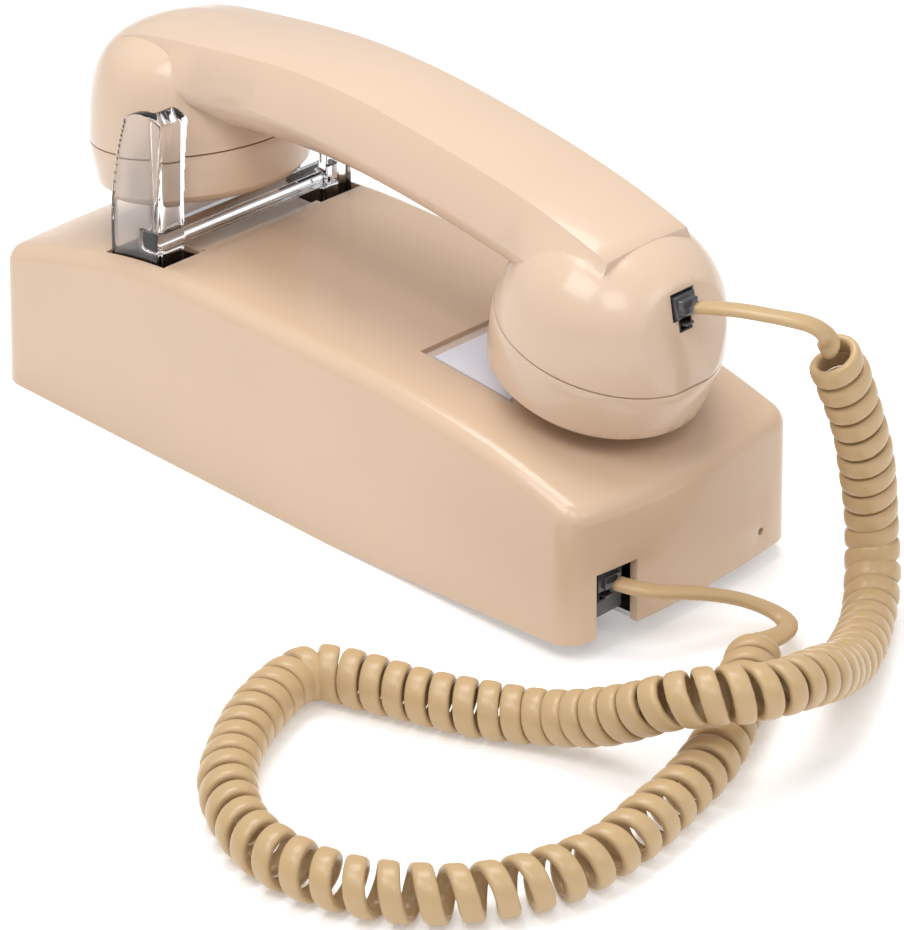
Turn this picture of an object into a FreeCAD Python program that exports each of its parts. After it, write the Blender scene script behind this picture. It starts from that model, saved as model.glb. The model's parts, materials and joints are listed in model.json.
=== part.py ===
"""Corded wall telephone with a hanging handset, a clear switch hook and a curly handset cord.

Frame: +X runs down the wall towards the jack end, +Z points away from the wall, Y is across.
The origin is the middle of the resting face. The phone lies on its back with the handset hung.
"""
import FreeCAD, Part
import math
import os
from FreeCAD import Placement, Rotation, Vector

doc = FreeCAD.newDocument("wall_telephone")
sheet = doc.addObject("Spreadsheet::Sheet", "Sizes")

SIZES = {
    # housing
    "housing_length": 233.0, "housing_width": 87.7, "end_bulge": 2.4, "corner_radius": 8.2,
    "wall_thickness": 2.6, "top_fillet": 5.9, "inner_fillet": 3.2, "draft_inset": 1.4,
    "knee_x": 22.7, "heel_rise": 5.0, "heel_x": 112.3,
    # base plate and wall fixing
    "plate_thickness": 1.5, "plate_gap": 0.5, "stud_spacing": 101.6, "stud_seat_x": -90.0,
    "keyhole_entry_radius": 5.0, "keyhole_slot_width": 5.0, "keyhole_travel": 10.0,
    # switch hook
    "pivot_x": -62.0, "pivot_z": 10.0, "pivot_pin_radius": 2.0, "pin_clearance": 0.05,
    "prong_outer_y": 37.2, "prong_plate": 3.4, "prong_flange_depth": 10.2, "bar_height": 5.0,
    "bar_width": 8.0, "bar_bottom_z": 58.0, "slot_start_x": -71.5, "slot_length": 24.5,
    "slot_inner_y": 21.9, "slot_outer_y": 37.8,
    # handset
    "ear_x": -73.8, "ear_z": 79.3, "ear_tilt": -9.5, "ear_radius": 30.9, "ear_rim_drop": 14.2,
    "mouth_x": 84.6, "mouth_z": 74.2, "mouth_tilt": 16.0, "mouth_radius": 31.0,
    "mouth_rim_drop": 17.2, "cap_wall": 2.4, "collar_radius": 28.1, "cup_radius": 25.5,
    "capsule_radius": 24.5, "capsule_thickness": 8.0, "handset_bore_radius": 4.0,
    "handset_bore_z": 100.0, "seam_gap": 0.5,
    # modular connectors
    "jack_width": 9.8, "jack_height": 12.6, "jack_depth": 14.0, "plug_width": 7.6,
    "plug_height": 6.2, "plug_length": 12.0, "socket_clearance": 0.2, "contact_count": 4,
    "contact_pitch": 1.25,
    # ringer
    "coil_radius": 10.0, "coil_length": 31.0, "core_radius": 4.0, "gong_radius": 18.0,
    "gong_height": 10.0, "gong_wall": 1.2, "gong_x": 20.0, "gong_y": 21.9, "gong_rim_z": 26.0,
    "gong_post_radius": 3.0, "clapper_x": -4.0, "clapper_pin_radius": 1.5, "clapper_ball": 2.2,
    # network board
    "board_length": 48.0, "board_width": 60.0, "board_thickness": 1.6, "board_z": 12.0,
    "board_x": 46.0, "board_screw_radius": 2.6,
    # cord
    "coil_cord_diameter": 15.2, "lead_diameter": 4.6,
}
for row, (alias, value) in enumerate(SIZES.items(), 1):
    sheet.set("A%d" % row, alias)
    sheet.set("B%d" % row, str(value))
    sheet.setAlias("B%d" % row, alias)
doc.recompute()

NODES = []


def size(alias):
    """Value of one sheet cell, in millimetres or degrees."""
    return float(sheet.get(alias))


def keep(obj, label):
    """Mark an object as one finished piece of the telephone."""
    obj.Label = label
    NODES.append(obj)
    return obj


def bind(obj, **links):
    """Tie properties to sheet cells or to formulas of them."""
    for prop, formula in links.items():
        obj.setExpression(prop, formula)


def place(obj, at, axis=(0, 0, 1), angle=0):
    obj.Placement = Placement(Vector(*at), Rotation(Vector(*axis), angle))
    return obj


def box(name, low, high):
    """Axis-aligned block between two corners."""
    obj = doc.addObject("Part::Box", name)
    obj.Length, obj.Width, obj.Height = [b - a for a, b in zip(low, high)]
    return place(obj, low)


def cylinder(name, radius, height, at, axis=(0, 0, 1), angle=0):
    """Cylinder whose radius and height are sheet formulas or plain numbers."""
    obj = doc.addObject("Part::Cylinder", name)
    for prop, value in (("Radius", radius), ("Height", height)):
        if isinstance(value, str):
            obj.setExpression(prop, value)
        else:
            setattr(obj, prop, value)
    return place(obj, at, axis, angle)


def fuse(name, shapes):
    obj = doc.addObject("Part::MultiFuse", name)
    obj.Shapes = shapes
    return obj


def cut(name, base, tools):
    obj = doc.addObject("Part::Cut", name)
    obj.Base = base
    obj.Tool = tools[0] if len(tools) == 1 else fuse(name + "_tools", tools)
    return obj


def group(name, shapes):
    """Several separate solids that share one node."""
    obj = doc.addObject("Part::Compound", name)
    obj.Links = shapes
    return obj


def feature(name, shape):
    obj = doc.addObject("Part::Feature", name)
    obj.Shape = shape
    return obj


def origin_plane(body, role):
    return next(item for item in body.Origin.OriginFeatures if item.Role == role)


def sketch_in(body, name, role):
    sketch = body.newObject("Sketcher::SketchObject", name)
    sketch.AttachmentSupport = [(origin_plane(body, role), "")]
    sketch.MapMode = "FlatFace"
    return sketch


def add_outline(sketch, points):
    """Closed outline of straight sides."""
    corners = [Vector(x, y, 0) for x, y in points]
    for a, b in zip(corners, corners[1:] + corners[:1]):
        sketch.addGeometry(Part.LineSegment(a, b), False)


def revolved(name, profile):
    """Solid of revolution about Z from (radius, height) corners in the XZ plane."""
    body = doc.addObject("PartDesign::Body", name)
    sketch = sketch_in(body, name + "_profile", "XZ_Plane")
    add_outline(sketch, profile)
    turn = body.newObject("PartDesign::Revolution", name + "_turn")
    turn.Profile = sketch
    turn.ReferenceAxis = (sketch, ["V_Axis"])
    turn.Angle = 360
    return body


def arc_through(a, middle, b):
    return Part.Arc(Vector(*a), Vector(*middle), Vector(*b)).toShape()


def tilted(alias_x, alias_z, alias_tilt):
    """Placement of a handset cup: Z of the cup leans about Y."""
    spot = Vector(size(alias_x), 0, size(alias_z))
    return Placement(spot, Rotation(Vector(0, 1, 0), size(alias_tilt)))


# ---------------------------------------------------------------- housing
def plan_wire(inset, z):
    """Plan outline: straight long sides, bowed ends, round corners."""
    half_width = size("housing_width") / 2 - inset
    radius = max(size("corner_radius") - inset, 2.0)
    flat = half_width - radius
    slope = 2 * math.atan(size("end_bulge") / flat)
    side = flat + radius * math.sin(slope)
    bulge = side / math.sin(slope) * (1 - math.cos(slope))
    start_x = size("housing_length") / 2 - inset - bulge - radius * math.cos(slope)
    turn = (math.pi / 2 - slope) / 2

    def corner(angle):
        return start_x + radius * math.sin(angle), -(flat + radius * math.cos(angle))

    mid_x, mid_y = corner(turn)
    end_x, end_y = corner(2 * turn)
    tip_x = end_x + bulge
    edges = [Part.LineSegment(Vector(-start_x, -half_width, z), Vector(start_x, -half_width, z)).toShape(),
             arc_through((start_x, -half_width, z), (mid_x, mid_y, z), (end_x, end_y, z)),
             arc_through((end_x, end_y, z), (tip_x, 0, z), (end_x, -end_y, z)),
             arc_through((end_x, -end_y, z), (mid_x, -mid_y, z), (start_x, half_width, z)),
             Part.LineSegment(Vector(start_x, half_width, z), Vector(-start_x, half_width, z)).toShape(),
             arc_through((-start_x, half_width, z), (-mid_x, -mid_y, z), (-end_x, -end_y, z)),
             arc_through((-end_x, -end_y, z), (-tip_x, 0, z), (-end_x, end_y, z)),
             arc_through((-end_x, end_y, z), (-mid_x, mid_y, z), (-start_x, -half_width, z))]
    return Part.Wire(edges)


def heel_z(x):
    """Height of the lower edge: flat to the knee, then rising to the jack end."""
    slope = size("heel_rise") / (size("heel_x") - size("knee_x"))
    return max(0.0, (x - size("knee_x")) * slope)


FACE_LINE = [(-125, 37.4), (-88, 48.8), (-56, 55.6), (-15, 56.9), (40, 55.5), (85, 50.4), (125, 38.0)]


def side_block(drop, floor):
    """Block with the housing's side view: the face is one smooth curve along X."""
    width = size("housing_width")
    curve = Part.BSplineCurve()
    curve.interpolate([Vector(x, -width, z - drop) for x, z in FACE_LINE])
    first = Vector(*curve.StartPoint)
    last = Vector(*curve.EndPoint)
    low = [Vector(last.x, -width, heel_z(last.x) + floor),
           Vector(size("knee_x"), -width, floor),
           Vector(first.x, -width, floor)]
    corners = [last] + low + [first]
    edges = [curve.toShape()]
    for a, b in zip(corners, corners[1:]):
        edges.append(Part.LineSegment(a, b).toShape())
    face = Part.Face(Part.Wire(edges))
    return face.extrude(Vector(0, 2 * width, 0))


def housing_blank(inset, drop, floor, fillet):
    """Drafted plan column trimmed to the side view, with its upper edge rounded."""
    height = 70
    lean = size("draft_inset") * height / 50
    column = Part.makeLoft([plan_wire(inset, -10), plan_wire(inset + lean, height)], True, True)
    profile = side_block(drop, floor)
    blank = column.common(profile).removeSplitter()
    face = max(blank.Faces, key=lambda f: f.CenterOfMass.z if f.Area > 8000 else -1)
    return blank.makeFillet(fillet, face.Edges)


def build_housing():
    wall = size("wall_thickness")
    outer = feature("housing_outside", housing_blank(0, 0, 0, size("top_fillet")))
    inner = feature("housing_inside", housing_blank(wall, wall, -20, size("inner_fillet")))
    tools = [inner]
    for side in (-1, 1):
        slot = doc.addObject("Part::Box", "hook_slot_%s" % ("near" if side < 0 else "far"))
        bind(slot, Length="Sizes.slot_length", Width="Sizes.slot_outer_y - Sizes.slot_inner_y")
        slot.Height = 60
        y = -size("slot_outer_y") if side < 0 else size("slot_inner_y")
        tools.append(place(slot, (size("slot_start_x"), y, 35)))
    trough_floor = size("bar_bottom_z") - 3.2
    tools.append(box("bar_trough", (-64, -22.5, trough_floor), (-49, 22.5, 70)))
    recess = box("card_recess", (0, -21.5, 0), (34, 21.5, 8))
    tools.append(place(recess, (36.4, -21.5, 53.9), (0, 1, 0), 4.2))
    tools.append(box("jack_notch", (104, -34.3, -10), (125, -20.3, 24)))
    tools.append(cylinder("latch_hole", 1.1, 20, (100, 28.9, 11.9), (0, 1, 0), 90))
    keep(cut("housing_cover_cut", outer, tools), "housing_cover")


def build_base_plate():
    gap = size("wall_thickness") + size("plate_gap")
    column = feature("plate_column", Part.makeLoft([plan_wire(gap, -10), plan_wire(gap, 30)], True, True))
    body = doc.addObject("PartDesign::Body", "plate_strip")
    sketch = sketch_in(body, "plate_side_view", "XZ_Plane")
    thick = size("plate_thickness")
    far = 125
    add_outline(sketch, [(-far, 0), (size("knee_x"), 0), (far, heel_z(far)), (far, heel_z(far) + thick),
                         (size("knee_x"), thick), (-far, thick)])
    pad = body.newObject("PartDesign::Pad", "plate_pad")
    pad.Profile = sketch
    pad.Midplane = True
    bind(pad, Length="Sizes.housing_width")
    trimmed = doc.addObject("Part::Common", "plate_trimmed")
    trimmed.Base = body
    trimmed.Tool = column
    tools = [box("line_plug_window", (-47.4, -7, -5), (-35.6, 7, 5)),
             box("jack_clearance", (95, -35, -5), (125, -19.6, 12))]
    for index in range(2):
        seat = size("stud_seat_x") + index * size("stud_spacing")
        name = "keyhole_%d" % index
        slot = doc.addObject("Part::Box", name + "_slot")
        bind(slot, Length="Sizes.keyhole_travel", Width="Sizes.keyhole_slot_width")
        slot.Height = 10
        place(slot, (seat, -size("keyhole_slot_width") / 2, -5))
        tools.append(slot)
        tools.append(cylinder(name + "_seat", "Sizes.keyhole_slot_width / 2", 10, (seat, 0, -5)))
        entry_x = seat + size("keyhole_travel")
        tools.append(cylinder(name + "_entry", "Sizes.keyhole_entry_radius", 10, (entry_x, 0, -5)))
    keep(cut("base_plate_cut", trimmed, tools), "base_plate")


def build_card():
    for label, low, high in (("number_card", (3, -19, 0.1), (31, 19, 0.5)),
                             ("card_window", (1, -20.5, 0.55), (33, 20.5, 1.25))):
        sheet_piece = box(label + "_sheet", low, high)
        turn = Rotation(Vector(0, 1, 0), 4.2)
        corner = Vector(36.4, 0, 53.9) + turn.multVec(Vector(*low))
        sheet_piece.Placement = Placement(corner, turn)
        keep(sheet_piece, label)


def build_latch():
    """Spring tab on the plate whose tip fills the hole in the jack end."""
    tab = box("latch_tab", (106.2, 23.5, 6.6), (107.4, 34.3, 19))
    foot = box("latch_foot", (96, 25.9, 6.6), (106.2, 31.9, 7.8))
    tip = cylinder("latch_tip", 0.8, 5.6, (107.4, 28.9, 11.9), (0, 1, 0), 90)
    keep(fuse("cover_latch_fuse", [tab, foot, tip]), "cover_latch")


# ---------------------------------------------------------------- switch hook
def prong_shape():
    """Side view of a prong: both edges bow towards the jack end as they rise."""
    thick = size("prong_outer_y")
    rear = Part.Arc(Vector(-69.9, 0, 55), Vector(-68.3, 0, 76), Vector(-62.8, 0, 96.2)).toShape()
    tip = Part.Arc(Vector(-62.8, 0, 96.2), Vector(-56, 0, 99.6), Vector(-47.2, 0, 98.2)).toShape()
    front = Part.Arc(Vector(-47.2, 0, 98.2), Vector(-49.4, 0, 77), Vector(-50.2, 0, 57)).toShape()
    low = [Vector(-50.2, 0, 57), Vector(-50.8, 0, 18), Vector(-70.3, 0, 18), Vector(-69.9, 0, 55)]
    edges = [rear, tip, front]
    for a, b in zip(low, low[1:]):
        edges.append(Part.LineSegment(a, b).toShape())
    return Part.Face(Part.Wire(edges)).extrude(Vector(0, thick, 0))


def build_hook():
    outer = size("prong_outer_y")
    blank = feature("prong_blank", prong_shape())
    pocket_depth = outer - size("prong_plate")
    prongs = []
    for side in (-1, 1):
        tag = "near" if side < 0 else "far"
        copy = doc.addObject("Part::Mirroring", "prong_" + tag) if side < 0 else feature("prong_" + tag, blank.Shape)
        if side < 0:
            copy.Source = blank
            copy.Normal = (0, 1, 0)
            copy.Base = (0, 0, 0)
        low_y, high_y = sorted((side * -1, side * (outer - size("prong_flange_depth"))))
        inner_cut = box("prong_inner_" + tag, (-90, low_y, 0), (-30, high_y, 120))
        low_y, high_y = sorted((side * -2, side * pocket_depth))
        ear_side = box("prong_pocket_" + tag, (-90, low_y, 22), (-53.6, high_y, 120))
        prongs.append(cut("prong_cut_" + tag, copy, [inner_cut, ear_side]))
    bar = doc.addObject("Part::Box", "hook_bar")
    bind(bar, Length="Sizes.bar_width", Width="2 * Sizes.prong_outer_y - 6", Height="Sizes.bar_height")
    place(bar, (-58.8, -outer + 3, size("bar_bottom_z")))
    rounded = doc.addObject("Part::Fillet", "hook_bar_rounded")
    rounded.Base = bar
    doc.recompute()
    along = [i for i, edge in enumerate(bar.Shape.Edges, 1) if abs(edge.tangentAt(edge.FirstParameter).y) > 0.9]
    rounded.Edges = [(i, 1.2, 1.2) for i in along]
    keep(fuse("hook_cradle_fuse", prongs + [rounded]), "hook_cradle")

    x = size("pivot_x")
    z = size("pivot_z")
    plate = box("lever_plate", (-70.3, -outer, 14.8), (-50.8, outer, 17.9))
    web = box("lever_web", (x - 2, -20, z + 3.4), (x + 2, 20, 14.9))
    tube = cylinder("lever_tube", 4.0, 46, (x, 23, z), (1, 0, 0), 90)
    hole = cylinder("lever_bore", "Sizes.pivot_pin_radius + Sizes.pin_clearance", 60, (x, 30, z), (1, 0, 0), 90)
    keep(cut("hook_lever_cut", fuse("lever_fuse", [plate, web, tube]), [hole]), "hook_lever")
    pin = cylinder("pin_body", "Sizes.pivot_pin_radius", 56, (x, 28, z), (1, 0, 0), 90)
    keep(pin, "hook_pivot_pin")

    floor = size("plate_thickness")
    foot = box("bracket_foot", (-70, -25.5, floor), (-50, 25.5, floor + 1.5))
    ears = [box("bracket_ear_%d" % i, (-68, y, floor), (-56, y + 1.5, 13.5)) for i, y in enumerate((-25.5, 24))]
    holes = cylinder("bracket_holes", "Sizes.pivot_pin_radius", 60, (x, 30, z), (1, 0, 0), 90)
    keep(cut("hook_bracket_cut", fuse("bracket_fuse", [foot] + ears), [holes]), "hook_bracket")

    turns = 5
    spring_z = floor + 2.3
    spring_height = 14.0 - spring_z - 0.1
    helix = Part.makeHelix(spring_height / turns, spring_height, 2.8)
    wire_disc = Part.Wire(Part.makeCircle(0.55, Vector(2.8, 0, 0), Vector(0, 1, 0.2)))
    coil = Part.Wire(helix).makePipeShell([wire_disc], True, True)
    spring = feature("spring_coil", coil)
    place(spring, (-54.4, 0, spring_z))
    keep(spring, "hook_spring")

    block = box("switch_stack", (-46, 10, floor), (-38, 24, 15))
    keep(block, "switch_block")
    leaves = [box("switch_leaf_%d" % i, (-53, 11.5, 6 + 2.6 * i), (-46, 22.5, 6.4 + 2.6 * i)) for i in range(3)]
    keep(group("switch_leaves", leaves), "switch_contacts")


# ---------------------------------------------------------------- handset
def cup_profile(points):
    """Half section of a cup as a smooth curve closed back to the axis."""
    curve = Part.BSplineCurve()
    curve.interpolate([Vector(r, 0, h) for r, h in points])
    rim = Vector(points[0][0], 0, points[0][1])
    top = Vector(0, 0, points[-1][1])
    base = Vector(0, 0, points[0][1])
    edges = [curve.toShape(), Part.LineSegment(top, base).toShape(), Part.LineSegment(base, rim).toShape()]
    return Part.Face(Part.Wire(edges)).revolve(Vector(0, 0, 0), Vector(0, 0, 1), 360)


def cup_blank(name, points, spot):
    """Domed end of the handle with its threaded collar below the seam."""
    dome = cup_profile(points)
    collar = Part.makeCylinder(size("collar_radius"), 6, Vector(0, 0, -6 + size("seam_gap")))
    blank = feature(name, dome.fuse(collar))
    blank.Placement = spot
    return blank


# X, height of the upper band, half width of the band
HANDLE_SECTIONS = [(-88, 106.4, 15.2), (-62, 112.2, 15.5), (-36, 115.6, 15.2), (-6, 117.2, 14.8),
                   (25, 115.0, 15.0), (52, 111.3, 15.0), (78, 106.2, 14.9), (97, 100.6, 14.9)]


def handle_section(x, top, half_top):
    """Nine-sided section: crowned band, flared side faces, narrower underside."""
    half = [(half_top, top), (20.6, top - 12.5), (19.6, top - 16.0), (12.0, top - 22.8)]
    ring = [(0, top + 0.7)] + half + [(-y, z) for y, z in reversed(half)]
    points = [Vector(x, y, z) for y, z in ring]
    return Part.makePolygon(points + points[:1])


def build_handset():
    ear_spot = tilted("ear_x", "ear_z", "ear_tilt")
    mouth_spot = tilted("mouth_x", "mouth_z", "mouth_tilt")
    ear = size("ear_radius")
    mouth = size("mouth_radius")
    gap = size("seam_gap")
    ear_dome = cup_blank("ear_dome", [(ear, gap), (ear - 1.4, 9), (ear - 3.5, 17), (ear - 7.6, 24.5),
                                      (ear - 16.4, 29.8), (0, 31.2)], ear_spot)
    mouth_dome = cup_blank("mouth_dome", [(mouth, gap), (mouth - 1.4, 8), (mouth - 4, 15.5), (mouth - 9.5, 22.5),
                                          (mouth - 19, 27.8), (0, 29.3)], mouth_spot)
    grip = feature("grip", Part.makeLoft([handle_section(*row) for row in HANDLE_SECTIONS], True, False))
    blank = fuse("handle_blank", [grip, ear_dome, mouth_dome])
    tools = []
    for name, spot in (("ear", ear_spot), ("mouth", mouth_spot)):
        wide = cylinder(name + "_cavity", "Sizes.cup_radius", 14, (0, 0, 0))
        wide.Placement = spot.multiply(Placement(Vector(0, 0, -8), Rotation()))
        deep = cylinder(name + "_deep_cavity", 16, 20, (0, 0, 0))
        deep.Placement = spot.multiply(Placement(Vector(0, 0, 5), Rotation()))
        tools.extend([wide, deep])
    tools.append(cylinder("lead_bore", "Sizes.handset_bore_radius", 143, (-66, 0, size("handset_bore_z")), (0, 1, 0), 90))
    facet = box("end_facet", (0, -40, -60), (30, 40, 60))
    tools.append(facet)
    turn = Rotation(Vector(0, 1, 0), -10.7)
    facet.Placement = Placement(Vector(110.8, 0, 82.5) + turn.multVec(Vector(0, -40, -60)), turn)
    half = size("jack_width") / 2 + 0.1
    for name, low, high in (("jack_pocket", (-16, -half, -9.1), (-NOSE_DEPTH, half, size("jack_height") - 8.9)),
                            ("jack_mouth", (-4, -4.4, -3.6), (12, 4.4, 3.9)),
                            ("latch_mouth", (-4, -2.4, -7.0), (12, 2.4, -3.5))):
        opening = box("handset_" + name, low, high)
        opening.Placement = HANDSET_JACK.multiply(opening.Placement)
        tools.append(opening)
    keep(cut("handle_cut", blank, tools), "handset_handle")

    build_cap("receiver_cap", "Sizes.ear_rim_drop", size("ear_radius"), size("ear_rim_drop"), 0.6, 3.0, ear_spot, 6)
    build_cap("transmitter_cap", "Sizes.mouth_rim_drop", size("mouth_radius"), size("mouth_rim_drop"), 1.4, 4.6,
              mouth_spot, 12)
    for label, spot, drop in (("receiver_capsule", ear_spot, -10.5), ("transmitter_capsule", mouth_spot, -12)):
        disc = revolved(label + "_disc", [(0, 0), (size("capsule_radius"), 0), (size("capsule_radius"), 2.5),
                                          (19, size("capsule_thickness")), (0, size("capsule_thickness"))])
        disc.Placement = spot.multiply(Placement(Vector(0, 0, drop), Rotation()))
        keep(disc, label)
    cup = revolved("transmitter_cup_body", [(0, -3.8), (24.8, -3.8), (24.8, 1.5), (21, 5), (0, 5)])
    cup.Placement = mouth_spot
    keep(cup, "transmitter_cup")
    leads = [cylinder("lead_wire_%d" % i, 0.8, 138, (-65, y, size("handset_bore_z") - 1.2), (0, 1, 0), 90)
             for i, y in enumerate((-1.6, 1.6))]
    keep(group("lead_wires", leads), "receiver_leads")


def build_cap(label, drop_link, radius, drop, taper, crown, spot, holes):
    """Screwed cap: slightly tapered skirt, crowned face and a ring of sound holes."""
    wall = size("cap_wall")
    inside = size("collar_radius") + 0.1
    low = radius - taper
    cap = revolved(label + "_shell", [(radius, -0.0), (radius, -3.0), (low, -drop + 2.6), (low - 2.8, -drop),
                                      (low * 0.55, -drop - crown * 0.72), (0, -drop - crown),
                                      (0, -drop - crown + wall), (low * 0.5, -drop - crown * 0.72 + wall),
                                      (low - 4.2, -drop + wall), (inside - 1.6, -drop + wall + 2), (inside, -7),
                                      (inside, -0.0)])
    sketch = sketch_in(cap, label + "_hole", "XY_Plane")
    sketch.addGeometry(Part.Circle(Vector(12, 0, 0), Vector(0, 0, 1), 1.3), False)
    pocket = cap.newObject("PartDesign::Pocket", label + "_sound_hole")
    pocket.Profile = sketch
    pocket.Type = "ThroughAll"
    pocket.Midplane = True
    doc.recompute()
    pattern = cap.newObject("PartDesign::PolarPattern", label + "_ring")
    pattern.Originals = [pocket]
    pattern.Axis = (sketch, ["N_Axis"])
    pattern.Angle = 360
    pattern.Occurrences = holes
    cap.Tip = pattern
    cap.Placement = spot
    keep(cap, label)


# ---------------------------------------------------------------- modular jacks and plugs
HANDSET_JACK = Placement(Vector(109.9, 0, 88.2), Rotation(Vector(0, 1, 0), -14))
BASE_JACK = Placement(Vector(110.4, -27.3, 19.4), Rotation())
NOSE_DEPTH = 2.3


def build_connector(name, spot):
    """Jack, its contact wires and the inserted plug. Local +X leaves the jack's mouth."""
    half = size("jack_width") / 2
    slack = size("socket_clearance")
    plug_half = size("plug_width") / 2
    plug_z = size("plug_height") / 2
    depth = size("jack_depth")
    block = box(name + "_jack_block", (-depth, -half, -9), (-NOSE_DEPTH - 0.1, half, size("jack_height") - 9))
    nose = box(name + "_jack_nose", (-NOSE_DEPTH - 0.1, -4.25, -3.5), (-0.35, 4.25, 3.7))
    chin = box(name + "_jack_chin", (-NOSE_DEPTH - 0.1, -2.3, -6.9), (-0.35, 2.3, -3.5))
    shell = fuse(name + "_jack_shell", [block, nose, chin])
    socket = box(name + "_socket", (-12.4, -plug_half - slack, -plug_z - slack), (1, plug_half + slack, plug_z + slack))
    latch_way = box(name + "_latch_way", (-10, -1.9, -6.3), (1, 1.9, -plug_z))
    jack = cut(name + "_jack_cut", shell, [socket, latch_way])
    jack.Placement = spot
    keep(jack, name + "_jack")
    wires = []
    pitch = size("contact_pitch")
    for index in range(int(size("contact_count"))):
        y = (index - 1.5) * pitch
        wires.append(box("%s_contact_%d" % (name, index), (-11.5, y - 0.25, plug_z + slack - 0.02 - 0.2),
                         (-3.0, y + 0.25, plug_z + slack)))
    contacts = group(name + "_contact_group", wires)
    contacts.Placement = spot
    keep(contacts, name + "_jack_contacts")
    reach = size("plug_length")
    plug_body = box(name + "_plug_body", (-reach, -plug_half, -plug_z), (0.9, plug_half, plug_z - 0.1))
    boot = box(name + "_plug_boot", (0.9, -2.9, -1.8), (2.6, 2.9, 1.8))
    tab = box(name + "_plug_tab", (-9, -1.5, -5.4), (1.4, 1.5, -4.5))
    stem = box(name + "_plug_stem", (-9, -1.5, -4.5), (-7.6, 1.5, -plug_z))
    plug = fuse(name + "_plug_fuse", [plug_body, boot, tab, stem])
    plug.Placement = spot
    keep(plug, "plug_" + name)


def build_jack_bracket():
    plate = box("bracket_plate", (108.2, -34.0, 8.0), (109.8, -20.6, 23.7))
    window = box("bracket_window", (100, -31.7, 15.8), (115, -22.9, 23.2))
    notch = box("bracket_notch", (100, -29.7, 12.4), (115, -24.9, 15.9))
    keep(cut("jack_bracket_cut", plate, [window, notch]), "jack_bracket")


# ---------------------------------------------------------------- ringer
def build_ringer():
    floor = size("plate_thickness")
    foot = box("ringer_foot", (-34, -19.5, floor), (-9, 19.5, floor + 1.5))
    cheeks = [box("ringer_cheek_%d" % i, (-31, y, floor), (-13, y + 2, 27)) for i, y in enumerate((-19.5, 17.5))]
    keep(fuse("ringer_frame_fuse", [foot] + cheeks), "ringer_frame")
    bobbin = cylinder("coil_winding", "Sizes.coil_radius", "Sizes.coil_length",
                      (-22, size("coil_length") / 2, 15), (1, 0, 0), 90)
    bore = cylinder("coil_bore", "Sizes.core_radius", 40, (-22, 20, 15), (1, 0, 0), 90)
    keep(cut("ringer_coil_cut", bobbin, [bore]), "ringer_coil")
    keep(cylinder("core_rod", "Sizes.core_radius", 35, (-22, 17.5, 15), (1, 0, 0), 90), "ringer_core")
    x = size("clapper_x")
    keep(cylinder("clapper_post_rod", "Sizes.clapper_pin_radius", 32.5, (x, 0, floor)), "clapper_post")
    hub = cylinder("clapper_hub", 3.5, 5, (x, 0, 28))
    bore = cylinder("clapper_bore", "Sizes.clapper_pin_radius + Sizes.pin_clearance", 10, (x, 0, 26))
    arm = box("clapper_arm", (x + 2.6, -0.5, 30), (size("gong_x"), 0.5, 31.2))
    tail = box("clapper_armature", (x - 13, -5, 28.6), (x - 2.6, 5, 30))
    ball = doc.addObject("Part::Sphere", "clapper_ball")
    bind(ball, Radius="Sizes.clapper_ball")
    place(ball, (size("gong_x"), 0, 30.6))
    keep(cut("clapper_cut", fuse("clapper_fuse", [hub, arm, tail, ball]), [bore]), "clapper")
    radius = size("gong_radius")
    wall = size("gong_wall")
    tall = size("gong_height")
    rim = size("gong_rim_z")
    for label, side, hole in (("gong_low", -1, 2.2), ("gong_high", 1, 2.2)):
        bowl = revolved(label + "_bowl", [(radius, 0), (radius - 1.2, 5), (radius - 5, tall - 1), (hole, tall),
                                          (hole, tall - wall), (radius - 5.8, tall - 1 - wall),
                                          (radius - 1.2 - wall, 4.6), (radius - wall, 0)])
        place(bowl, (size("gong_x"), side * size("gong_y"), rim))
        keep(bowl, label)
    spots = [(size("gong_x"), side * size("gong_y")) for side in (-1, 1)]
    top = rim + tall - wall - 0.15
    posts = [cylinder("gong_post_%d" % i, "Sizes.gong_post_radius", top - floor, (px, py, floor))
             for i, (px, py) in enumerate(spots)]
    keep(group("gong_post_pair", posts), "gong_posts")
    heads = []
    for index, (px, py) in enumerate(spots):
        shank = cylinder("gong_screw_shank_%d" % index, 2.0, wall + 0.2, (px, py, top))
        head = cylinder("gong_screw_head_%d" % index, 3.6, 2.2, (px, py, top + wall + 0.2))
        heads.append(fuse("gong_screw_%d" % index, [shank, head]))
    keep(group("gong_screw_pair", heads), "gong_screws")


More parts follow.
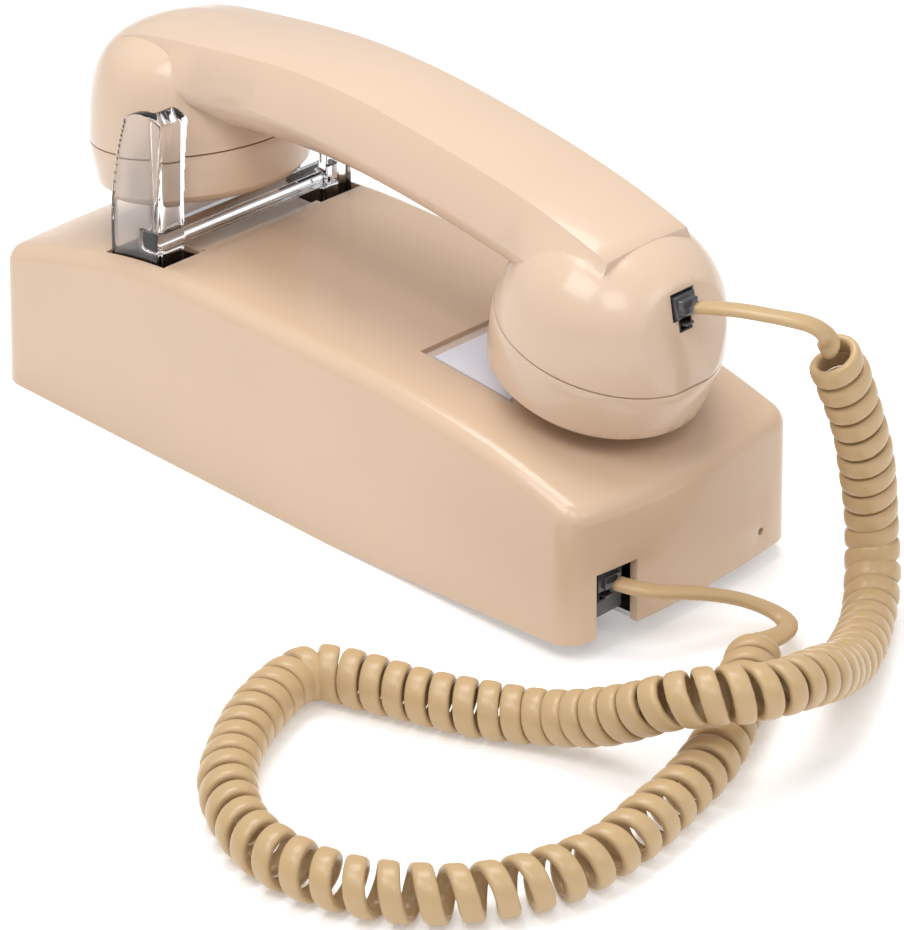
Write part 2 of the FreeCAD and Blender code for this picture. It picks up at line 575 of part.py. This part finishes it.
# ---------------------------------------------------------------- network board
def build_board():
    x = size("board_x")
    z = size("board_z")
    top = z + size("board_thickness")
    half = size("board_width") / 2
    board = doc.addObject("Part::Box", "board_sheet")
    bind(board, Length="Sizes.board_length", Width="Sizes.board_width", Height="Sizes.board_thickness")
    keep(place(board, (x, -half, z)), "circuit_board")
    corners = [(x + 4, -half + 4), (x + 4, half - 4), (x + 44, -half + 4), (x + 44, half - 4)]
    posts = []
    screws = []
    for index, (px, py) in enumerate(corners):
        start = heel_z(px) + size("plate_thickness") + 0.25
        posts.append(cylinder("board_post_%d" % index, 3.0, z - start, (px, py, start)))
        screws.append(cylinder("board_screw_%d" % index, "Sizes.board_screw_radius", 1.8, (px, py, top)))
    keep(group("board_posts_group", posts), "board_posts")
    keep(group("board_screws_group", screws), "board_screws")
    core = box("transformer_core", (x + 12, -24, top), (x + 30, -6, top + 15))
    keep(core, "line_transformer")
    cans = [cylinder("capacitor_%d" % i, 4.0, 14, (x + 14 + 10 * i, 6, top)) for i in range(3)]
    keep(group("capacitor_cans", cans), "network_capacitors")
    keep(box("terminal_block_body", (x + 10, 14, top), (x + 38, 23, top + 7)), "terminal_block")
    heads = [cylinder("terminal_screw_%d" % i, 2.0, 1.4, (x + 14 + 6.6 * i, 18.5, top + 7)) for i in range(4)]
    keep(group("terminal_screw_row", heads), "terminal_screws")
    keep(box("line_plug_body", (-47, -6.5, 0.3), (-36, 6.5, 12)), "line_connector")


# ---------------------------------------------------------------- cord
COIL_ROUTE = [(144, 17, 84), (147, 27, 60), (146, 34, 38), (146, 37, 18), (154, 28, 7.7), (165, 11, 7.7),
              (175, -8, 12), (184, -29, 23), (185, -50, 27.5), (172, -66, 27.5), (153, -70, 15),
              (134, -74, 7.7), (112, -86, 7.7), (91, -93, 7.7), (75, -99, 7.7), (77, -114, 7.7),
              (86, -134, 7.7), (102, -154, 7.7), (128, -165, 7.7), (157, -158, 7.7), (177, -139, 7.7),
              (186, -112, 7.7), (182, -84, 7.7), (175, -56, 7.7), (160, -30, 7.7), (147, -9, 7.7)]
HANDSET_LEAD_ROUTE = [(115.0, 0, 89.4), (124, 2, 91.5), (136, 7, 91.5), (145, 13.5, 90), (144, 17, 84)]
BASE_LEAD_ROUTE = [(114.4, -27.3, 19.4), (122, -25.5, 19), (128, -11, 15.5), (133, 2, 10), (141, 8, 6),
                   (148.5, 3, 6), (147.2, -9, 7.6)]


def routed_tube(name, route, diameter_alias):
    """Tube along straight runs joined by tangent arcs as large as the runs allow."""
    points = [Vector(*p) for p in route]
    radius = size(diameter_alias) / 2
    edges = []
    at = points[0]
    radii = []
    for before, here, after in zip(points, points[1:], points[2:]):
        back = (before - here)
        ahead = (after - here)
        reach = 0.45 * min(back.Length, ahead.Length)
        turn = math.pi - back.getAngle(ahead)
        radii.append(reach / math.tan(turn / 2))
        back.normalize()
        ahead.normalize()
        start = here + back * reach
        end = here + ahead * reach
        inward = back + ahead
        inward.normalize()
        centre = here + inward * math.hypot(radii[-1], reach)
        middle = centre - inward * radii[-1]
        edges.append(Part.LineSegment(at, start).toShape())
        edges.append(Part.Arc(start, middle, end).toShape())
        at = end
    edges.append(Part.LineSegment(at, points[-1]).toShape())
    spine = Part.Wire(edges)
    first = points[1] - points[0]
    section = Part.Wire(Part.makeCircle(radius, points[0], first))
    tube = spine.makePipeShell([section], True, False)
    expected = math.pi * radius * radius * spine.Length
    print("%s: length %.1f, volume ratio %.4f, tightest arc %.1f" %
          (name, spine.Length, tube.Volume / expected, min(radii)))
    print("   radii", " ".join("%.0f" % r for r in radii))
    keep(feature(name + "_tube", tube), name)


build_housing()
build_base_plate()
build_card()
build_latch()
build_hook()
build_handset()
build_connector("handset", HANDSET_JACK)
build_connector("base", BASE_JACK)
build_jack_bracket()
build_ringer()
build_board()
routed_tube("cord_coil", COIL_ROUTE, "coil_cord_diameter")
routed_tube("cord_lead_handset", HANDSET_LEAD_ROUTE, "lead_diameter")
routed_tube("cord_lead_base", BASE_LEAD_ROUTE, "lead_diameter")
doc.recompute()

for item in doc.Objects:
    if "Invalid" in item.State or "Error" in item.State:
        raise RuntimeError("%s did not recompute: %s" % (item.Label, item.State))
os.makedirs("parts", exist_ok=True)
for node in NODES:
    shape = node.Shape
    if shape.isNull() or not shape.isValid() or not shape.Solids:
        raise RuntimeError("%s has no valid solid" % node.Label)
    shape.exportStep(os.path.join("parts", node.Label + ".step"))
    print("%-24s %2d solid %10.1f mm3" % (node.Label, len(shape.Solids), shape.Volume))
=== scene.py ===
import json
import math
import bpy
from mathutils import Matrix, Vector


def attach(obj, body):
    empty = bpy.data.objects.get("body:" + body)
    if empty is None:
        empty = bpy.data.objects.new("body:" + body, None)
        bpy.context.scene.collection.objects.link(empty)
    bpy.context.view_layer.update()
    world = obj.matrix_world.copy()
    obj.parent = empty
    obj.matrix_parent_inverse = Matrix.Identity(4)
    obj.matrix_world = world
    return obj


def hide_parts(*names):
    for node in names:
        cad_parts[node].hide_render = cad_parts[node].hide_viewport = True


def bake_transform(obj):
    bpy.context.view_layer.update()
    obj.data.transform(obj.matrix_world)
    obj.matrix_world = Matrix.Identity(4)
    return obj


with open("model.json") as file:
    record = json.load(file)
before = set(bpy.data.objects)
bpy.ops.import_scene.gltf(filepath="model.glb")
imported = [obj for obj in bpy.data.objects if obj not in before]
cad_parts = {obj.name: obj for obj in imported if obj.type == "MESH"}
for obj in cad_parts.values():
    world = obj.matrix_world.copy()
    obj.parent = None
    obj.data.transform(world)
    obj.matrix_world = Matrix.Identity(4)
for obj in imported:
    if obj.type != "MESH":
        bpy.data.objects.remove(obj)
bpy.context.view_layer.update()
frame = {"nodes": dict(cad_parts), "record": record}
MM = 0.001
BODY_OF = {node: body for body, nodes in frame["record"]["behaviour"]["bodies"].items() for node in nodes}
SLOT_OF = {row["node"]: row["material_slot"] for row in frame["record"]["subparts"]}


def link(obj):
    bpy.context.scene.collection.objects.link(obj)
    return obj


# ---------------------------------------------------------------- camera
CAMERA_AT = Vector((0.74803, -0.72756, 0.57744))
AZIMUTH, ELEVATION, ROLL = math.radians(44.73), math.radians(29.03), math.radians(0.26)
LENS_MM, SENSOR_MM = 164.95, 36.0


def add_camera():
    data = bpy.data.cameras.new("camera")
    data.lens = LENS_MM
    data.sensor_width = SENSOR_MM
    data.clip_end = 20
    back = Vector((math.sin(AZIMUTH) * math.cos(ELEVATION), -math.cos(AZIMUTH) * math.cos(ELEVATION),
                   math.sin(ELEVATION)))
    level = Vector((math.cos(AZIMUTH), math.sin(AZIMUTH), 0))
    up = back.cross(level)
    right = level * math.cos(ROLL) + up * math.sin(ROLL)
    up = back.cross(right)
    turn = Matrix((right, up, back)).transposed().to_4x4()
    camera = link(bpy.data.objects.new("camera", data))
    camera.matrix_world = Matrix.Translation(CAMERA_AT) @ turn
    bpy.context.scene.camera = camera


# ---------------------------------------------------------------- materials
def node_of(tree, kind, **values):
    node = tree.nodes.new(kind)
    for name, value in values.items():
        node.inputs[name.replace("_", " ")].default_value = value
    return node


def shader(name, colour, roughness, vary=0.03, grain=900, depth=0.00002, **sockets):
    """Principled material: mottled colour, uneven gloss and a fine surface grain."""
    material = bpy.data.materials.new(name)
    material.use_nodes = True
    tree = material.node_tree
    principled = tree.nodes["Principled BSDF"]
    for socket, value in sockets.items():
        principled.inputs[socket.replace("_", " ")].default_value = value
    place = tree.nodes.new("ShaderNodeTexCoord")
    cloud = node_of(tree, "ShaderNodeTexNoise", Scale=28, Detail=4)
    tree.links.new(place.outputs["Object"], cloud.inputs["Vector"])
    ramp = tree.nodes.new("ShaderNodeValToRGB")
    ramp.color_ramp.elements[0].position = 0.3
    ramp.color_ramp.elements[1].position = 0.7
    ramp.color_ramp.elements[0].color = [c * (1 - vary) for c in colour] + [1]
    ramp.color_ramp.elements[1].color = [min(1, c * (1 + vary)) for c in colour] + [1]
    tree.links.new(cloud.outputs["Fac"], ramp.inputs["Fac"])
    tree.links.new(ramp.outputs["Color"], principled.inputs["Base Color"])
    fine = node_of(tree, "ShaderNodeTexNoise", Scale=grain, Detail=3)
    tree.links.new(place.outputs["Object"], fine.inputs["Vector"])
    spread = node_of(tree, "ShaderNodeMapRange", To_Min=roughness * 0.8, To_Max=roughness * 1.25)
    tree.links.new(cloud.outputs["Fac"], spread.inputs["Value"])
    tree.links.new(spread.outputs["Result"], principled.inputs["Roughness"])
    bump = node_of(tree, "ShaderNodeBump", Strength=0.25, Distance=depth)
    tree.links.new(fine.outputs["Fac"], bump.inputs["Height"])
    tree.links.new(bump.outputs["Normal"], principled.inputs["Normal"])
    return material


def banded(name, colour, dark, roughness, scale, **sockets):
    """Wound or turned surface: fine bands around Y over the base shader."""
    material = shader(name, colour, roughness, **sockets)
    tree = material.node_tree
    principled = tree.nodes["Principled BSDF"]
    place = tree.nodes.new("ShaderNodeTexCoord")
    wave = node_of(tree, "ShaderNodeTexWave", Scale=scale, Distortion=0.6)
    wave.bands_direction = "Y"
    tree.links.new(place.outputs["Object"], wave.inputs["Vector"])
    ramp = tree.nodes.new("ShaderNodeValToRGB")
    ramp.color_ramp.elements[0].color = list(dark) + [1]
    ramp.color_ramp.elements[1].color = list(colour) + [1]
    tree.links.new(wave.outputs["Color"], ramp.inputs["Fac"])
    tree.links.new(ramp.outputs["Color"], principled.inputs["Base Color"])
    return material


MATERIALS = {
    "housing_plastic": shader("housing_plastic", (0.62, 0.452, 0.32), 0.24, 0.015, 700, 0.000012,
                              Coat_Weight=0.2, Coat_Roughness=0.07, Specular_IOR_Level=0.35),
    "handset_plastic": shader("handset_plastic", (0.63, 0.468, 0.345), 0.22, 0.015, 700, 0.00001,
                              Coat_Weight=0.25, Coat_Roughness=0.05, Specular_IOR_Level=0.35),
    "cord_jacket": shader("cord_jacket", (0.5, 0.345, 0.18), 0.32, 0.02, 1500, 0.00001,
                          Coat_Weight=0.1, Specular_IOR_Level=0.4),
    "clear_plastic": shader("clear_plastic", (0.93, 0.93, 0.95), 0.03, 0.005, 300, 0.000005,
                            Transmission_Weight=1.0, IOR=1.49),
    "card_film": shader("card_film", (0.9, 0.9, 0.95), 0.06, 0.005, 300, 0.000005, Alpha=0.14),
    "plug_plastic": shader("plug_plastic", (0.05, 0.05, 0.055), 0.15, 0.05, 600, 0.00001, Coat_Weight=0.5),
    "black_plastic": shader("black_plastic", (0.012, 0.012, 0.014), 0.28, 0.1, 900, 0.00002),
    "grey_plastic": shader("grey_plastic", (0.10, 0.11, 0.115), 0.42, 0.06, 900, 0.00003),
    "card_paper": shader("card_paper", (0.80, 0.80, 0.88), 0.75, 0.02, 2500, 0.00003),
    "zinc_steel": shader("zinc_steel", (0.55, 0.56, 0.57), 0.36, 0.08, 1200, 0.00002, Metallic=1.0),
    "spring_steel": shader("spring_steel", (0.42, 0.42, 0.44), 0.25, 0.05, 1500, 0.00001, Metallic=1.0),
    "contact_brass": shader("contact_brass", (0.80, 0.60, 0.25), 0.2, 0.05, 1500, 0.00001, Metallic=1.0),
    "gong_brass": shader("gong_brass", (0.70, 0.52, 0.24), 0.3, 0.06, 900, 0.00001, Metallic=1.0),
    "coil_wrap": banded("coil_wrap", (0.42, 0.16, 0.06), (0.16, 0.05, 0.02), 0.45, 420),
    "lead_insulation": shader("lead_insulation", (0.7, 0.7, 0.66), 0.5, 0.03, 1500, 0.00001),
    "board_laminate": shader("board_laminate", (0.30, 0.20, 0.07), 0.5, 0.08, 800, 0.00002),
}


def paint(piece, slot):
    piece.data.materials.clear()
    piece.data.materials.append(MATERIALS[slot])
    return piece


# ---------------------------------------------------------------- handset cord
COIL_ROUTE = [(144, 17, 84), (147, 27, 60), (146, 34, 38), (146, 37, 18), (154, 28, 7.7), (165, 11, 7.7),
              (175, -8, 12), (184, -29, 23), (185, -50, 27.5), (172, -66, 27.5), (153, -70, 15),
              (134, -74, 7.7), (112, -86, 7.7), (91, -93, 7.7), (75, -99, 7.7), (77, -114, 7.7),
              (86, -134, 7.7), (102, -154, 7.7), (128, -165, 7.7), (157, -158, 7.7), (177, -139, 7.7),
              (186, -112, 7.7), (182, -84, 7.7), (175, -56, 7.7), (160, -30, 7.7), (147, -9, 7.7)]
HANDSET_LEAD_ROUTE = [(115.0, 0, 89.4), (124, 2, 91.5), (136, 7, 91.5), (145, 13.5, 90), (144, 17, 84)]
BASE_LEAD_ROUTE = [(114.4, -27.3, 19.4), (122, -25.5, 19), (128, -11, 15.5), (133, 2, 10), (141, 8, 6),
                   (148.5, 3, 6), (147.2, -9, 7.6)]
COIL_RADIUS = 6.15 * MM
CORD_WIDTH, CORD_THICKNESS = 5.5 * MM, 2.7 * MM
STEPS_PER_TURN = 26
TURNS_TO_OPEN = 1.1
# the coil's radius drifts a little along its length, as a used cord's does
DRIFT_MEAN, DRIFT_DEPTH, DRIFT_RATE = 0.98, 0.025, 7.3 / (40 * MM)
# stations eased before and after the place where a lead meets the coil
JOIN_BEFORE, JOIN_AFTER = 12, STEPS_PER_TURN // 2
# spacing of the turns along the coil, from the handset to the base: fraction of its length, pitch in mm
PITCHES = [(0.0, 6.4), (0.18, 6.4), (0.4, 6.2), (0.56, 6.4), (0.64, 7.4), (0.74, 8.2), (0.9, 7.6), (1.0, 6.4)]


def nurbs_line(route):
    """Points of a smooth quadratic curve with the route as its control points, in metres."""
    data = bpy.data.curves.new("route", "CURVE")
    data.dimensions = "3D"
    spline = data.splines.new("NURBS")
    spline.points.add(len(route) - 1)
    for knot, spot in zip(spline.points, route):
        knot.co = (*[c * MM for c in spot], 1)
    spline.order_u = 3
    spline.use_endpoint_u = True
    spline.resolution_u = 32
    holder = link(bpy.data.objects.new("route", data))
    mesh = bpy.data.meshes.new_from_object(holder)
    line = [v.co.copy() for v in mesh.vertices]
    bpy.data.objects.remove(holder)
    bpy.data.meshes.remove(mesh)
    bpy.data.curves.remove(data)
    return line


class Track:
    """Arc-length lookup along a line of points."""

    def __init__(self, line):
        self.line = line
        self.at = [0.0]
        for a, b in zip(line, line[1:]):
            self.at.append(self.at[-1] + (b - a).length)
        self.length = self.at[-1]
        self.index = 0

    def sample(self, s):
        while self.index < len(self.at) - 2 and self.at[self.index + 1] < s:
            self.index += 1
        a, b = self.line[self.index], self.line[self.index + 1]
        span = max(self.at[self.index + 1] - self.at[self.index], 1e-9)
        return a.lerp(b, (s - self.at[self.index]) / span), (b - a).normalized()


def pitch_at(fraction):
    for (f0, p0), (f1, p1) in zip(PITCHES, PITCHES[1:]):
        if fraction <= f1:
            return (p0 + (p1 - p0) * (fraction - f0) / (f1 - f0)) * MM
    return PITCHES[-1][1] * MM


def ease(x):
    x = min(max(x, 0.0), 1.0)
    return x * x * (3 - 2 * x)


def lead_points(route, spacing=1.2 * MM):
    """Even points along a flat lead, each with the upward face of the ribbon."""
    track = Track(nurbs_line(route))
    count = max(int(track.length / spacing), 2)
    return [(track.sample(track.length * i / count)[0], Vector((0, 0, 1))) for i in range(count)]


def coil_points():
    """The curly stretch: a helix round the route whose radius opens and closes over one turn."""
    track = Track(nurbs_line(COIL_ROUTE))
    normal = Vector((1, 0, 0))
    phase = 0.0
    s = 0.0
    points = []
    while s < track.length:
        centre, heading = track.sample(s)
        normal = (normal - heading * normal.dot(heading)).normalized()
        side = heading.cross(normal)
        radial = normal * math.cos(phase) + side * math.sin(phase)
        pitch = pitch_at(s / track.length)
        opening = ease(s / (TURNS_TO_OPEN * pitch)) * ease((track.length - s) / (TURNS_TO_OPEN * pitch))
        drift = DRIFT_MEAN + DRIFT_DEPTH * math.sin(DRIFT_RATE * s)
        points.append((centre + radial * COIL_RADIUS * opening * drift, radial))
        s += pitch / STEPS_PER_TURN
        phase += 2 * math.pi / STEPS_PER_TURN
    return points


def ribbon_section(count=14):
    """Flat cord in section: rounded oblong, half width by half thickness."""
    ring = []
    for k in range(count):
        angle = 2 * math.pi * k / count
        c, s = math.cos(angle), math.sin(angle)
        across = math.copysign(abs(c) ** 0.62, c) * CORD_WIDTH / 2
        out = math.copysign(abs(s) ** 0.8, s) * CORD_THICKNESS / 2
        ring.append((across, out))
    return ring


def sweep_mesh(name, stations, ring):
    """Closed tube through stations of (point, facing)."""
    vertices = []
    count = len(ring)
    spots = [p for p, _ in stations]
    for i, (spot, facing) in enumerate(stations):
        ahead = spots[min(i + 1, len(spots) - 1)] - spots[max(i - 1, 0)]
        heading = ahead.normalized()
        out = (facing - heading * facing.dot(heading)).normalized()
        across = heading.cross(out)
        vertices.extend(spot + across * a + out * b for a, b in ring)
    faces = []
    for i in range(len(stations) - 1):
        for k in range(count):
            a, b = i * count + k, i * count + (k + 1) % count
            faces.append((a, b, b + count, a + count))
    faces.append(tuple(reversed(range(count))))
    faces.append(tuple(range(len(vertices) - count, len(vertices))))
    mesh = bpy.data.meshes.new(name)
    mesh.from_pydata(vertices, [], faces)
    mesh.validate()
    mesh.shade_smooth()
    return mesh


def smooth_facings(stations, passes=10, window=3):
    """Let the ribbon roll gradually where a lead turns into the coil."""
    for _ in range(passes):
        facings = [f for _, f in stations]
        blended = []
        for i, (spot, facing) in enumerate(stations):
            near = facings[max(0, i - window):i + window + 1]
            total = sum(near, Vector())
            blended.append((spot, total.normalized() if total.length > 0.01 else facing))
        stations = blended
    return stations


def smooth_spots(stations, passes=6):
    for _ in range(passes):
        spots = [p for p, _ in stations]
        for i in range(1, len(spots) - 1):
            middle = (spots[i - 1] + spots[i + 1]) / 2
            stations[i] = (spots[i].lerp(middle, 0.5), stations[i][1])
    return stations


def join_stations(lead_in, coil, lead_out):
    """One cord from the handset's plug to the base's plug, eased at the two joins."""
    stations = lead_in + coil + lead_out
    for join in (len(lead_in), len(lead_in) + len(coil)):
        low, high = join - JOIN_BEFORE, join + JOIN_AFTER
        stations[low:high] = smooth_facings(stations[low:high])
        stations[low:high] = smooth_spots(stations[low:high])
    return stations


def add_cord():
    lead_in = lead_points(HANDSET_LEAD_ROUTE)
    lead_out = list(reversed(lead_points(BASE_LEAD_ROUTE)))
    stations = join_stations(lead_in, coil_points(), lead_out)
    cord = link(bpy.data.objects.new("handset_cord", sweep_mesh("handset_cord", stations, ribbon_section())))
    paint(cord, "cord_jacket")
    path = [p for p, _ in stations]
    length = sum((b - a).length for a, b in zip(path, path[1:]))
    print("cord length %.3f m in %d points" % (length, len(path)))
    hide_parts("cord_coil", "cord_lead_handset", "cord_lead_base")
    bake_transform(cord)


# ---------------------------------------------------------------- pieces over the CAD solids
WELD_REACH = 0.01 * MM
BEVEL_FROM, SHARP_FROM = math.radians(40), math.radians(50)


def applied(piece):
    """Replace a piece's mesh by the result of its modifiers."""
    graph = bpy.context.evaluated_depsgraph_get()
    mesh = bpy.data.meshes.new_from_object(piece.evaluated_get(graph))
    piece.modifiers.clear()
    piece.data = mesh
    return piece


def copy_of(node, suffix):
    piece = link(bpy.data.objects.new(node + suffix, frame["nodes"][node].data.copy()))
    piece.matrix_world = frame["nodes"][node].matrix_world
    return piece


def finish_piece(piece, node):
    paint(piece, SLOT_OF[node])
    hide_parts(node)
    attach(piece, BODY_OF[node])
    return piece


def moulded(node, voxel, passes):
    """Moulded skin: the CAD form with every edge eased and every junction faired."""
    piece = copy_of(node, "_moulding")
    remesh = piece.modifiers.new("remesh", "REMESH")
    remesh.mode = "VOXEL"
    remesh.voxel_size = voxel * 1
    smooth = piece.modifiers.new("smooth", "SMOOTH")
    smooth.factor = 0.5
    smooth.iterations = passes
    applied(piece)
    piece.data.shade_smooth()
    return finish_piece(piece, node)


def eased(node, width):
    """Machined or pressed piece: the CAD form with its edges bevelled."""
    piece = copy_of(node, "_detail")
    weld = piece.modifiers.new("weld", "WELD")
    weld.merge_threshold = WELD_REACH
    bevel = piece.modifiers.new("bevel", "BEVEL")
    bevel.width = width
    bevel.segments = 2
    bevel.limit_method = "ANGLE"
    bevel.angle_limit = BEVEL_FROM
    applied(piece)
    piece.data.shade_smooth()
    piece.data.set_sharp_from_angle(angle=SHARP_FROM)
    return finish_piece(piece, node)


# node: size of the remeshing grid, and how many times the skin is smoothed
MOULDED = {
    "hook_cradle": (0.5 * MM, 8), "transmitter_cup": (0.8 * MM, 3),
}
# node: width of its bevels in mm
EASED = {
    "housing_cover": 0.3, "receiver_cap": 0.35, "transmitter_cap": 0.35, "handset_handle": 0.45,
    "base_plate": 0.2, "number_card": 0.05, "card_window": 0.15, "cover_latch": 0.15, "hook_lever": 0.25,
    "hook_bracket": 0.25, "hook_pivot_pin": 0.3, "switch_block": 0.4, "switch_contacts": 0.06,
    "handset_jack": 0.25, "base_jack": 0.25, "handset_jack_contacts": 0.05, "base_jack_contacts": 0.05,
    "plug_handset": 0.3, "plug_base": 0.3, "jack_bracket": 0.25, "ringer_frame": 0.3, "ringer_coil": 0.5,
    "ringer_core": 0.3, "clapper_post": 0.2, "clapper": 0.2, "gong_low": 0.3, "gong_high": 0.3,
    "gong_posts": 0.2, "gong_screws": 0.35, "circuit_board": 0.15, "board_posts": 0.2, "board_screws": 0.35,
    "line_transformer": 0.6, "network_capacitors": 0.6, "terminal_block": 0.5, "terminal_screws": 0.25,
    "line_connector": 0.4, "receiver_capsule": 0.4, "transmitter_capsule": 0.4, "receiver_leads": 0.1,
    "hook_spring": 0.05,
}


# ---------------------------------------------------------------- stage
def add_area(name, at, size, power, target=(0.03, -0.02, 0.05)):
    data = bpy.data.lights.new(name, "AREA")
    data.shape = "RECTANGLE"
    data.size, data.size_y = size
    data.energy = power
    lamp = link(bpy.data.objects.new(name, data))
    lamp.location = at
    lamp.rotation_euler = (Vector(target) - Vector(at)).to_track_quat("-Z", "Y").to_euler()


# name, place, size in metres, power in watts
LIGHTS = [
    ("top_softbox", (-0.15, 0.1, 1.1), (0.7, 0.5), 6.6),
    ("front_softbox", (0.75, -0.55, 1.15), (0.5, 0.5), 3.2),
    ("end_softbox", (1.0, 0.35, 0.8), (0.5, 0.5), 1.5),
    ("side_softbox", (0.0, -0.65, 1.1), (0.6, 0.5), 4.6),
]
FLOOR_REACH = 6.0
WORLD_STRENGTH = 0.55


def add_stage():
    mesh = bpy.data.meshes.new("floor")
    corners = [(x * FLOOR_REACH, y * FLOOR_REACH, 0) for x, y in ((-1, -1), (1, -1), (1, 1), (-1, 1))]
    mesh.from_pydata(corners, [], [(0, 1, 2, 3)])
    floor = link(bpy.data.objects.new("floor", mesh))
    floor.data.materials.append(shader("floor_paper", (0.86, 0.86, 0.86), 0.7, 0.004, 300, 0.00001,
                                       Emission_Color=(1, 1, 1, 1), Emission_Strength=0.25))
    world = bpy.data.worlds.new("studio")
    world.use_nodes = True
    world.node_tree.nodes["Background"].inputs["Color"].default_value = (1, 1, 1, 1)
    world.node_tree.nodes["Background"].inputs["Strength"].default_value = WORLD_STRENGTH
    bpy.context.scene.world = world
    bpy.context.scene.view_settings.view_transform = "Standard"
    for light in LIGHTS:
        add_area(*light)


add_camera()
for piece_node, (voxel, passes) in MOULDED.items():
    moulded(piece_node, voxel, passes)
for piece_node, width in EASED.items():
    eased(piece_node, width * MM)
bpy.data.objects["card_window_detail"].data.materials[0] = MATERIALS["card_film"]
add_cord()
add_stage()
